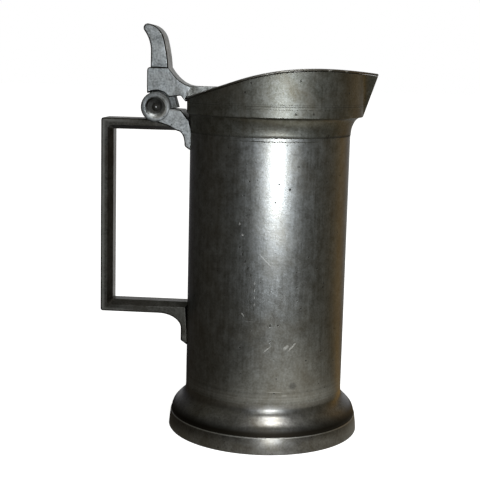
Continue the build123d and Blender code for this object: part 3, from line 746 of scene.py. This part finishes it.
# Small nicks knocked into the front of the edge, at these x
nick = sum(np.exp(-(((plate_x - nick_x) / 0.8) ** 2)) for nick_x in (1.1, 3.4, 9.9, 12.0, 33.1, 42.1))
nick = np.where(plate_y < -20, np.minimum(nick, 1), 0)
flat_share = np.concatenate([[0.02], np.linspace(0.1, 0.985, 14)])[:, None]
edge_angle = np.radians(np.linspace(-90, 90, 9))[:, None]
reach = np.hypot(plate_x - MOUTH_X, plate_y)
distance = np.concatenate(
    [
        flat_share * (reach - half_sheet),
        reach - half_sheet * (1 - np.cos(edge_angle)) - 0.3 * nick,
        flat_share[::-1] * (reach - half_sheet),
    ]
)
on_flat = np.ones_like(flat_share)
side_of_sheet = np.concatenate([-on_flat, np.sin(edge_angle), on_flat])
near_edge = np.concatenate([0 * on_flat, np.ones_like(edge_angle), 0 * on_flat])
flat_x = MOUTH_X + distance * (plate_x - MOUTH_X) / reach
flat_y = distance * plate_y / reach
plate_z = rim_height(flat_x, LID_GAP + half_sheet) + side_of_sheet * half_sheet
plate_z = plate_z - near_edge * 0.25 * nick * (1 + side_of_sheet)
# The edge's upper half is painted lighter and its lower half darker, as light and shade, and the nicks are
# painted bright, partly fresh metal and partly a painted glint
plate_edge_light_and_nicks = near_edge * (0.15 * side_of_sheet + 0.9 * nick)
plate_rows = np.stack([flat_x, flat_y, plate_z], axis=2)
make_piece("lid_sheet", plate_rows, "lid", sheet_metal, ["lid_plate"], wear_and_light=plate_edge_light_and_nicks)

# Strap: block over the hinge, hollow sweep down, tapering foot on the lid, and a heel outside the wall
strap_back = HINGE_X - BLOCK_BACK
strap_top = strap_high[2]
strap_end = strap_high[0]
block_front = HINGE_X + BLOCK_FRONT
foot_z = HINGE_Z + STRAP_FOOT_HEIGHT
heel_x = LID_BACK_X
heel_z = float(rim_height(np.array(heel_x), LID_TOP_LIFT)) - STRAP_HEEL_DROP
sweep_end = heel_x + 5.8
waist = heel_x + STRAP_WAIST
toe_start = strap_end - STRAP_FOOT_HALF
end_ease = 0.5
station = np.concatenate(
    [
        strap_back + end_ease * (1 - np.cos(np.radians(np.linspace(0, 90, 6)))),
        [strap_back + 0.8, strap_back + 1.3, strap_back + BLOCK_CORNER, strap_back + 2.4],
        np.linspace(strap_back + 3.2, block_front - 0.4, 16),
        np.linspace(block_front, heel_x - 0.02, 20),
        np.linspace(heel_x + 0.02, sweep_end, 12),
        np.linspace(sweep_end + 0.5, toe_start, 16),
        strap_end - STRAP_FOOT_HALF * (1 - np.sin(np.radians(np.linspace(6, 86, 12)))),
    ]
)
end_draw = end_ease - quarter_height(end_ease, strap_back + end_ease - station)
sweep_share = np.clip((station - block_front) / (sweep_end - block_front), 0, 1)
sweep_z = foot_z + (strap_top - foot_z) * (1 - sweep_share) ** 2.35
corner_z = strap_top - BLOCK_CORNER + quarter_height(BLOCK_CORNER, strap_back + BLOCK_CORNER - station)
top_z = np.where(station < strap_back + BLOCK_CORNER, corner_z, sweep_z)
top_z = np.maximum(top_z, rim_height(station, LID_TOP_LIFT) + 0.35) - end_draw * 0.3
arch = KNUCKLE_RADIUS + ARCH_GAP
arch_rise = 0.626
arch_z = HINGE_Z + quarter_height(arch, np.abs(station - HINGE_X))
bridge_x = HINGE_X + ARCH_SHARE * arch
bridge_z = HINGE_Z + arch_rise * arch
bridge_end_z = bridge_z + 0.9
under_z = np.interp(station, [bridge_x, heel_x - STRAP_HEEL, heel_x], [bridge_z, bridge_end_z, heel_z])
on_plate_z = rim_height(station, LID_TOP_LIFT) - 0.3
low_z = np.where(station < bridge_x, arch_z, np.where(station < heel_x, under_z, on_plate_z)) + end_draw
taper = np.clip((station - waist) / (toe_start - waist), 0, 1) ** 0.7
half_y = STRAP_FOOT_HALF + (STRAP_HALF - STRAP_FOOT_HALF) * (1 - taper) ** 2 * (1 + 2 * taper)
toe_half = quarter_height(STRAP_FOOT_HALF, station - toe_start)
half_y = np.where(station > toe_start, toe_half, half_y) - end_draw
strap_rows = box_sections(station, half_y, low_z, top_z, 0.7)
# The block's four rounded edges and its back are dark, and the edges clear up towards the toe
strap_wear = np.zeros(strap_rows.shape[:2])
strap_wear[:, [2, 3, 4, 9, 10, 11, 16, 17, 18, 23, 24, 25]] = -1.0
strap_wear *= 1 - taper[:, None]
strap_wear[:6] = -0.5
make_piece("lid_strap_block", strap_rows, "lid", hinge_metal, ["lid_strap"], wear_and_light=strap_wear)

# Knuckle: the round tongue of the strap between the cheeks, with the web that carries it
nose_tip = HINGE_X + TONGUE_NOSE
knuckle_outline = np.concatenate(
    [
        arc_points((HINGE_X, HINGE_Z), (TONGUE_RADIUS, TONGUE_RADIUS), 180, 352, 40),
        [(nose_tip - 0.3, HINGE_Z - 0.3)],
        [(nose_tip, HINGE_Z)],
        [(nose_tip - 2.0, bridge_end_z)],
        [(block_front, HINGE_Z + arch + 2.0)],
        [(strap_back + 1.6, HINGE_Z + arch)],
        [(strap_back + 1.2, HINGE_Z + arch - 1.0)],
        [(HINGE_X - 6.0, HINGE_Z + 1.8)],
    ]
)
knuckle_rows = slab(knuckle_outline, TONGUE_HALF, 0.3)
# The whole knuckle is painted darker, as painted shade between the cheeks
make_piece("lid_knuckle", knuckle_rows, "lid", hinge_metal, wear_and_light=-0.55)

# Thumbpiece: a thick horn of tangent arcs, upright in front and curled back at its tip. Its front arc
# stops short of the block, because points closer to the corner than the easing would tangle the face.
thumb_back = strap_back + THUMB_SETBACK
thumb_top = THUMB_TOP - 0.05
curl_end = np.array([thumb_back - THUMB_CURL, thumb_top - THUMB_TIP_HEIGHT])
tip_end = np.array([curl_end[0] + THUMB_TIP_WIDTH, thumb_top])
brow_end = np.array([block_front - THUMB_LEAN, thumb_top - THUMB_BROW_DROP])
curl_start = np.array([thumb_back, curl_end[1] - THUMB_CURL_HEIGHT])
curl, heading = tangent_arc(curl_start, (0.0, 1.0), curl_end, 14)
tip, heading = tangent_arc(curl_end, heading, tip_end)
brow, heading = tangent_arc(tip_end, heading, brow_end)
front = tangent_arc(brow_end, heading, np.array([block_front, strap_top]))[0]
horn = np.concatenate(
    [
        [(thumb_back, strap_top - 0.4), (thumb_back, strap_top + 1.0)],
        curl,
        tip[1:],
        brow[1:],
        front[1:-2],
        [(block_front, strap_top - 0.4)],
    ]
)
horn_rows = slab(horn, STRAP_HALF, 0.8)
horn_wear = edge_wear(horn_rows, -1.0) + 0 * horn[:, 0]
make_piece("thumb_horn", horn_rows, "lid", hinge_metal, ["thumbpiece"], wear_and_light=horn_wear)

# Handle: a square bow, bevelled on its inner side, with the tail under its lower end
handle_top = handle_high[2]
handle_back = handle_low[0]
inner_top = handle_top - HANDLE_DEPTH
inner_foot = HANDLE_FOOT + HANDLE_DEPTH
inner_back = handle_back + HANDLE_DEPTH
tail_face = -DRUM_RADIUS - LOWER_TAIL_SETBACK
tail_foot = handle_low[2]
socket_x = HINGE_X + 10.9
tail_sizes = (LOWER_TAIL_RUN, LOWER_TAIL_RISE)
tail_centre = (tail_face - LOWER_TAIL_RUN, HANDLE_FOOT - LOWER_TAIL_RISE)
lower_tail = arc_points(tail_centre, tail_sizes, 90, 0, 14)
bow = [
    (socket_x, handle_top),
    (handle_back, handle_top),
    (handle_back, HANDLE_FOOT),
    *lower_tail.tolist(),
    (tail_face, tail_foot + 2.4),
    (-DRUM_RADIUS + 0.4, tail_foot),
    (-DRUM_RADIUS + 1.6, tail_foot),
    (-DRUM_RADIUS + 1.6, inner_foot),
    (inner_back, inner_foot),
    (inner_back, inner_top),
    (socket_x, inner_top),
]
bow_radii = [0, HANDLE_CORNER, HANDLE_CORNER] + [0] * len(lower_tail) + [0.8, 0.3, 0, 0, 0.1, 0.1, 0]
bow_outline = rounded(bow, bow_radii, steps=6)
bow_x = bow_outline[:, 0]
bow_z = bow_outline[:, 1]
on_inner = (bow_x > inner_back - 0.01) & (bow_z > inner_foot - 0.01) & (bow_z < inner_top + 0.01)
bow_rows = slab(
    bow_outline,
    HANDLE_HALF,
    0.9,
    bevel=on_inner.astype(float),
    bevel_width=HANDLE_BEVEL_WIDTH,
    bevel_depth=HANDLE_BEVEL_DEPTH,
)
# The post's two faces are rubbed bright, the bars, edges and bevel are dull, and the lower bar is plainer
on_bevel = on_inner & (np.abs(bow_rows[..., 1]) > HANDLE_HALF - HANDLE_BEVEL_WIDTH)
bow_wear = edge_wear(bow_rows, -0.6) + 0 * bow_x
bow_wear = np.where(on_bevel, -0.45, bow_wear)
bow_wear[[0, 1, -2, -1]] = np.where(bow_x < inner_back, 0.4, -0.3)
bow_wear[:, (bow_x > inner_back) & (bow_z < inner_foot - 1)] *= 0.2
make_piece("handle_bow", bow_rows, "vessel", handle_metal, ["handle"], wear_and_light=bow_wear)

# Hinge bracket: its body round the knuckle, hollowed below into a short tail against the drum
tail_low = bracket_low[2]
bracket_tail = -DRUM_RADIUS - 2.2
swell_start = np.array([HINGE_X, HINGE_Z - 8.3])
swell_end = np.array([bracket_tail - 4.3, inner_top])
hollow_sizes = (BRACKET_TAIL_RUN, BRACKET_TAIL_RISE)
hollow_centre = (bracket_tail - BRACKET_TAIL_RUN, inner_top - BRACKET_TAIL_RISE)
round_steps = 16
bracket_outline = np.concatenate(
    [
        arc_points((HINGE_X, HINGE_Z), (7.3, 7.3), -7, -88, round_steps),
        tangent_arc(swell_start, (0.985, -0.17), swell_end)[0],
        arc_points(hollow_centre, hollow_sizes, 80, 0, 10),
        [(bracket_tail, tail_low + 2.6)],
        [(bracket_tail + 0.6, tail_low + 1.6)],
        [(-DRUM_RADIUS + 0.4, tail_low + 0.2)],
        [(-DRUM_RADIUS + 1.9, tail_low)],
        [(-DRUM_RADIUS + 2.3, HINGE_Z - 14.0)],
        [(-DRUM_RADIUS + 0.2, HINGE_Z - 7.0)],
        [(-DRUM_RADIUS - 4.6, HINGE_Z - 1.2)],
    ]
)
bracket_rows = slab(bracket_outline, FORK_HALF - 0.12, 0.7)
bracket_wear = edge_wear(bracket_rows, -1.0) + 0 * bracket_outline[:, 0]
bracket_wear[:, :round_steps] = 0
make_piece(
    "bracket_body",
    bracket_rows,
    "vessel",
    hinge_metal,
    ["hinge_bracket"],
    wear_and_light=bracket_wear,
)


def spun(profile, angle, side=1):
    """Rows turned about the hinge pin: profile points are (radius, distance from the middle plane)."""
    x = HINGE_X + profile[:, 0][:, None] * np.cos(angle)
    z = HINGE_Z + profile[:, 0][:, None] * np.sin(angle)
    return np.stack([x, np.broadcast_to(side * profile[:, 1][:, None], x.shape), z], axis=2)


# Cheeks: dished face with grime and painted shade in its bottom, darkest towards the upper left,
# rounded rim, plain inner face. A painted highlight lies on the lower right of each rim, and painted
# shade on the rest of it.
ball = (DISH_RADIUS**2 + DISH_DEPTH**2) / (2 * DISH_DEPTH)
dish_radius = np.linspace(0.2, DISH_RADIUS - 0.2, 12)
dish_floor = FORK_HALF - DISH_DEPTH
dish = np.stack([dish_radius, dish_floor + ball - np.sqrt(ball**2 - dish_radius**2)], axis=1)
lip = arc_points((6.45, FORK_HALF - 0.7), (0.7, 0.7), 145, 90, 5)
brim = arc_points((KNUCKLE_RADIUS - 0.8, FORK_HALF - 0.8), (0.8, 0.8), 90, 0, 6)
inner_face = TONGUE_HALF + 0.3
plain = [
    (KNUCKLE_RADIUS, 9.6),
    (KNUCKLE_RADIUS, 6.0),
    (KNUCKLE_RADIUS - 0.2, inner_face),
    (0.2, inner_face),
]
cheek_profile = np.concatenate([dish, lip, brim, plain])
cheek_angle = round_turn(96)
from_axis = cheek_profile[:, :1]
in_dish = np.arange(len(cheek_profile))[:, None] < len(dish)
# Painted shade in the dish is centred a little up and to the left of the pin
from_shade_centre = np.hypot(from_axis * np.cos(cheek_angle) + 0.8, from_axis * np.sin(cheek_angle) - 0.6)
dish_shade_and_grime = -0.85 * np.clip((5.1 - from_shade_centre) / 0.9, 0, 1) * in_dish
# Share of light towards the lower right, for the painted highlight on the rim and the painted shade on the
# rest
lit_share = 0.5 + 0.5 * np.cos(cheek_angle + math.radians(40))
painted_rim_highlight = np.exp(-((from_axis - DISH_RADIUS) ** 2)) * lit_share**2
cheek_light_and_wear = dish_shade_and_grime + painted_rim_highlight - 0.45 * (1 - lit_share) * (from_axis > 5)
brim_start = len(dish) + len(lip)
cheek_light_and_wear[brim_start : brim_start + len(brim)] = -0.6
for side, name in ((-1, "near_cheek"), (1, "far_cheek")):
    cheek_rows = spun(cheek_profile, cheek_angle, side)
    make_piece(name, cheek_rows, "vessel", hinge_metal, wear_and_light=cheek_light_and_wear)

# Hinge pin: a rod with worn, domed ends in the dishes, painted dark as shade, with a painted glint at the
# middle of each end
pin_end = pin_high[1]
dome = arc_points((0.0, pin_end - 0.7), (PIN_RADIUS, 0.7), 89, 0, 8)
shaft = [(PIN_RADIUS, pin_end - 1.2), (PIN_RADIUS, -pin_end + 1.2)]
pin_profile = np.concatenate([dome, shaft, dome[::-1] * (1, -1)])
pin_rows = spun(pin_profile, round_turn(64))
pin_shade_and_glint = np.full((len(pin_profile), 1), -0.9)
pin_shade_and_glint[[0, -1]] = 1.0
make_piece("pin_rod", pin_rows, "vessel", hinge_metal, ["hinge_pin"], wear_and_light=pin_shade_and_glint)

# The bottom disc's CAD shape is right as it is, so it only gets the finished metal
for material_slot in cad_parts["bottom_disc"].material_slots:
    material_slot.material = turned_metal

# Colour of the room by bearing in degrees, from the camera's side towards the beak: dark on the left,
# warm on the right with a strip of ochre, and pale behind the jug
room_stops = [
    (-180, "B4B4B8"),
    (-156, "B4B4B8"),
    (-146, "4A4A50"),
    (-132, "3C3A3C"),
    (-124, "302B25"),
    (-60, "444038"),
    (-10, "484742"),
    (60, "56544C"),
    (100, "625D50"),
    (117, "6A604A"),
    (124, "B08D56"),
    (133, "B08D56"),
    (140, "5E5A4E"),
    (152, "9A9A9C"),
    (180, "B4B4B8"),
]


def room_colour(tree, direction):
    """Add the room's colour in a direction, by its bearing, and give its output."""
    parts = add(tree, "ShaderNodeSeparateXYZ", {0: direction})
    towards_camera = add(tree, "ShaderNodeMath", {0: parts.outputs["Y"], 1: -1.0}, operation="MULTIPLY")
    bearing = add(tree, "ShaderNodeMath", {0: parts.outputs["X"], 1: towards_camera}, operation="ARCTAN2")
    bearing = add(tree, "ShaderNodeMapRange", {0: bearing, 1: -math.pi, 2: math.pi})
    walls = add(tree, "ShaderNodeValToRGB", {0: bearing})
    elements = walls.color_ramp.elements
    while len(elements) < len(room_stops):
        elements.new(0.5)
    for element, (degrees, text) in zip(elements, room_stops):
        element.position = degrees / 360 + 0.5
        element.color = colour(text)
    return walls.outputs[0]


# Floor: a plain pale sheet that keeps the jug's shadow and burns out to white where it is lit.
# To the camera it glows nearly white everywhere. To the metal it does so only behind the jug, and
# elsewhere it has the colours of the room, with a painted pool of light in front that only reflections
# show. Its lengths are in metres.
FLOOR_HALF = 9
POOL_PLACE = (0.09, -0.14, 0.0)
POOL_CORE = 0.02
POOL_EDGE = 0.2
POOL_STRENGTH = 0.9
floor_corners = [(x * FLOOR_HALF, y * FLOOR_HALF, 0) for x, y in ((-1, -1), (1, -1), (1, 1), (-1, 1))]
floor_mesh = bpy.data.meshes.new("floor")
floor_mesh.from_pydata(floor_corners, [], [(0, 1, 2, 3)])
floor = bpy.data.objects.new("floor", floor_mesh)
bpy.context.scene.collection.objects.link(floor)
floor_material = bpy.data.materials.new("white_sheet")
floor_material.use_nodes = True
sheet = floor_material.node_tree
sheet.nodes.clear()
rays = add(sheet, "ShaderNodeLightPath")
spot = add(sheet, "ShaderNodeTexCoord").outputs["Object"]
spot_direction = add(sheet, "ShaderNodeVectorMath", {0: spot}, operation="NORMALIZE")
spot_parts = add(sheet, "ShaderNodeSeparateXYZ", {0: spot_direction})
behind = add(sheet, "ShaderNodeMapRange", {0: spot_parts.outputs["Y"], 1: 0.93, 2: 0.98})
from_pool = add(sheet, "ShaderNodeVectorMath", {0: spot, 1: POOL_PLACE}, operation="DISTANCE")
pool_look = {0: from_pool.outputs["Value"], 1: POOL_CORE, 2: POOL_EDGE, 3: POOL_STRENGTH, 4: 0.0}
pool = add(sheet, "ShaderNodeMapRange", pool_look)
paint = add(sheet, "ShaderNodeBsdfDiffuse", {"Color": colour("EDEDED")})
from_jug = add(sheet, "ShaderNodeVectorMath", {0: spot}, operation="LENGTH")
glow_look = {0: from_jug.outputs["Value"], 1: 0.15, 2: 0.6, 3: 0.9, 4: 1.0}
glow_strength = add(sheet, "ShaderNodeMapRange", glow_look)
glow = add(sheet, "ShaderNodeEmission", {"Color": colour("FFFFFF"), "Strength": glow_strength})
lit = add(sheet, "ShaderNodeAddShader", {0: paint, 1: glow})
room = add(sheet, "ShaderNodeEmission", {"Color": room_colour(sheet, spot_direction), "Strength": 1.0})
pool_glow = add(sheet, "ShaderNodeEmission", {"Color": colour("FAF6EC"), "Strength": pool})
room = add(sheet, "ShaderNodeAddShader", {0: room, 1: pool_glow})
mirrored = add(sheet, "ShaderNodeMixShader", {0: behind, 1: room, 2: glow})
shown = add(sheet, "ShaderNodeMixShader", {0: rays.outputs["Is Camera Ray"], 1: paint, 2: lit})
shown = add(sheet, "ShaderNodeMixShader", {0: rays.outputs["Is Glossy Ray"], 1: shown, 2: mirrored})
add(sheet, "ShaderNodeOutputMaterial", {"Surface": shown})
floor_mesh.materials.append(floor_material)

# World: a dim studio round the jug, darkest on the left and warm on the right, with a grey ceiling and
# a white card behind the jug. The camera sees white everywhere, and the metal sees the card where it is.
world = bpy.data.worlds.new("studio")
bpy.context.scene.world = world
world.use_nodes = True
sky = world.node_tree
sky.nodes.clear()
outwards = add(sky, "ShaderNodeTexCoord").outputs["Generated"]
direction = add(sky, "ShaderNodeSeparateXYZ", {0: outwards})
overhead = add(sky, "ShaderNodeMapRange", {0: direction.outputs["Z"], 1: 0.2, 2: 0.8, 3: 0.0, 4: 0.75})
walls = room_colour(sky, outwards)
room = add(sky, "ShaderNodeMix", {0: overhead, 6: walls, 7: colour("7A7A74")}, data_type="RGBA")
sky_rays = add(sky, "ShaderNodeLightPath")
card = add(sky, "ShaderNodeMapRange", {0: direction.outputs["Y"], 1: 0.95, 2: 0.98})
mirrored = add(sky, "ShaderNodeMath", {0: sky_rays.outputs["Is Glossy Ray"], 1: card}, operation="MULTIPLY")
seen = add(sky, "ShaderNodeMath", {0: sky_rays.outputs["Is Camera Ray"], 1: mirrored}, operation="MAXIMUM")
backdrop = add(sky, "ShaderNodeMix", {0: seen, 6: room.outputs[2], 7: colour("FFFFFF")}, data_type="RGBA")
studio = add(sky, "ShaderNodeBackground", {"Color": backdrop.outputs[2], "Strength": 1.0})
add(sky, "ShaderNodeOutputWorld", {"Surface": studio})


def lamp(name, place, aim, size, watts, tint):
    """A soft rectangular lamp at a place, aimed at a point, all in millimetres."""
    light = bpy.data.lights.new(name, "AREA")
    light.shape = "RECTANGLE"
    light.size = size[0] * MM
    light.size_y = size[1] * MM
    light.energy = watts
    light.color = colour(tint)[:3]
    holder = bpy.data.objects.new(name, light)
    holder.location = Vector(place) * MM
    holder.rotation_euler = (Vector(aim) * MM - holder.location).to_track_quat("-Z", "Y").to_euler()
    bpy.context.scene.collection.objects.link(holder)


# Lamps: a key low on the right that draws the drum's bright stripe, one overhead, and one for the rim
lamp("key", (165, -640, 102), aim=(0, 0, 130), size=(76, 46), watts=1.75, tint="EFF5FF")
lamp("top", (165, -330, 930), aim=(0, 0, 20), size=(60, 60), watts=3.0, tint="FBFCFF")
lamp("rim", (150, -620, 350), aim=(-40, 0, 190), size=(60, 60), watts=0.8, tint="F6FAFF")

# Camera: where the photograph was taken from, a little above the rim and well in front of the handle's
# plane, turned slightly to the left and tilted down
FOCAL_PIXELS = 1084
IMAGE_PIXELS = 480
SENSOR_WIDTH = 36
eye = Vector((38.39, -618.71, 209.2)) * MM
yaw = math.radians(5.0)
pitch = math.radians(9.12)
roll = math.radians(1.39)
forward = Vector((-math.sin(yaw) * math.cos(pitch), math.cos(yaw) * math.cos(pitch), -math.sin(pitch)))
level = Vector((math.cos(yaw), math.sin(yaw), 0))
upright = level.cross(forward)
right = level * math.cos(roll) + upright * math.sin(roll)
up = right.cross(forward)
camera_data = bpy.data.cameras.new("camera")
camera_data.sensor_width = SENSOR_WIDTH
camera_data.lens = FOCAL_PIXELS / IMAGE_PIXELS * SENSOR_WIDTH
camera = bpy.data.objects.new("camera", camera_data)
turn_matrix = Matrix((right, up, -forward)).transposed().to_4x4()
camera.matrix_world = Matrix.Translation(eye) @ turn_matrix
bpy.context.scene.collection.objects.link(camera)
bpy.context.scene.camera = camera
bpy.context.scene.view_settings.view_transform = "Standard"
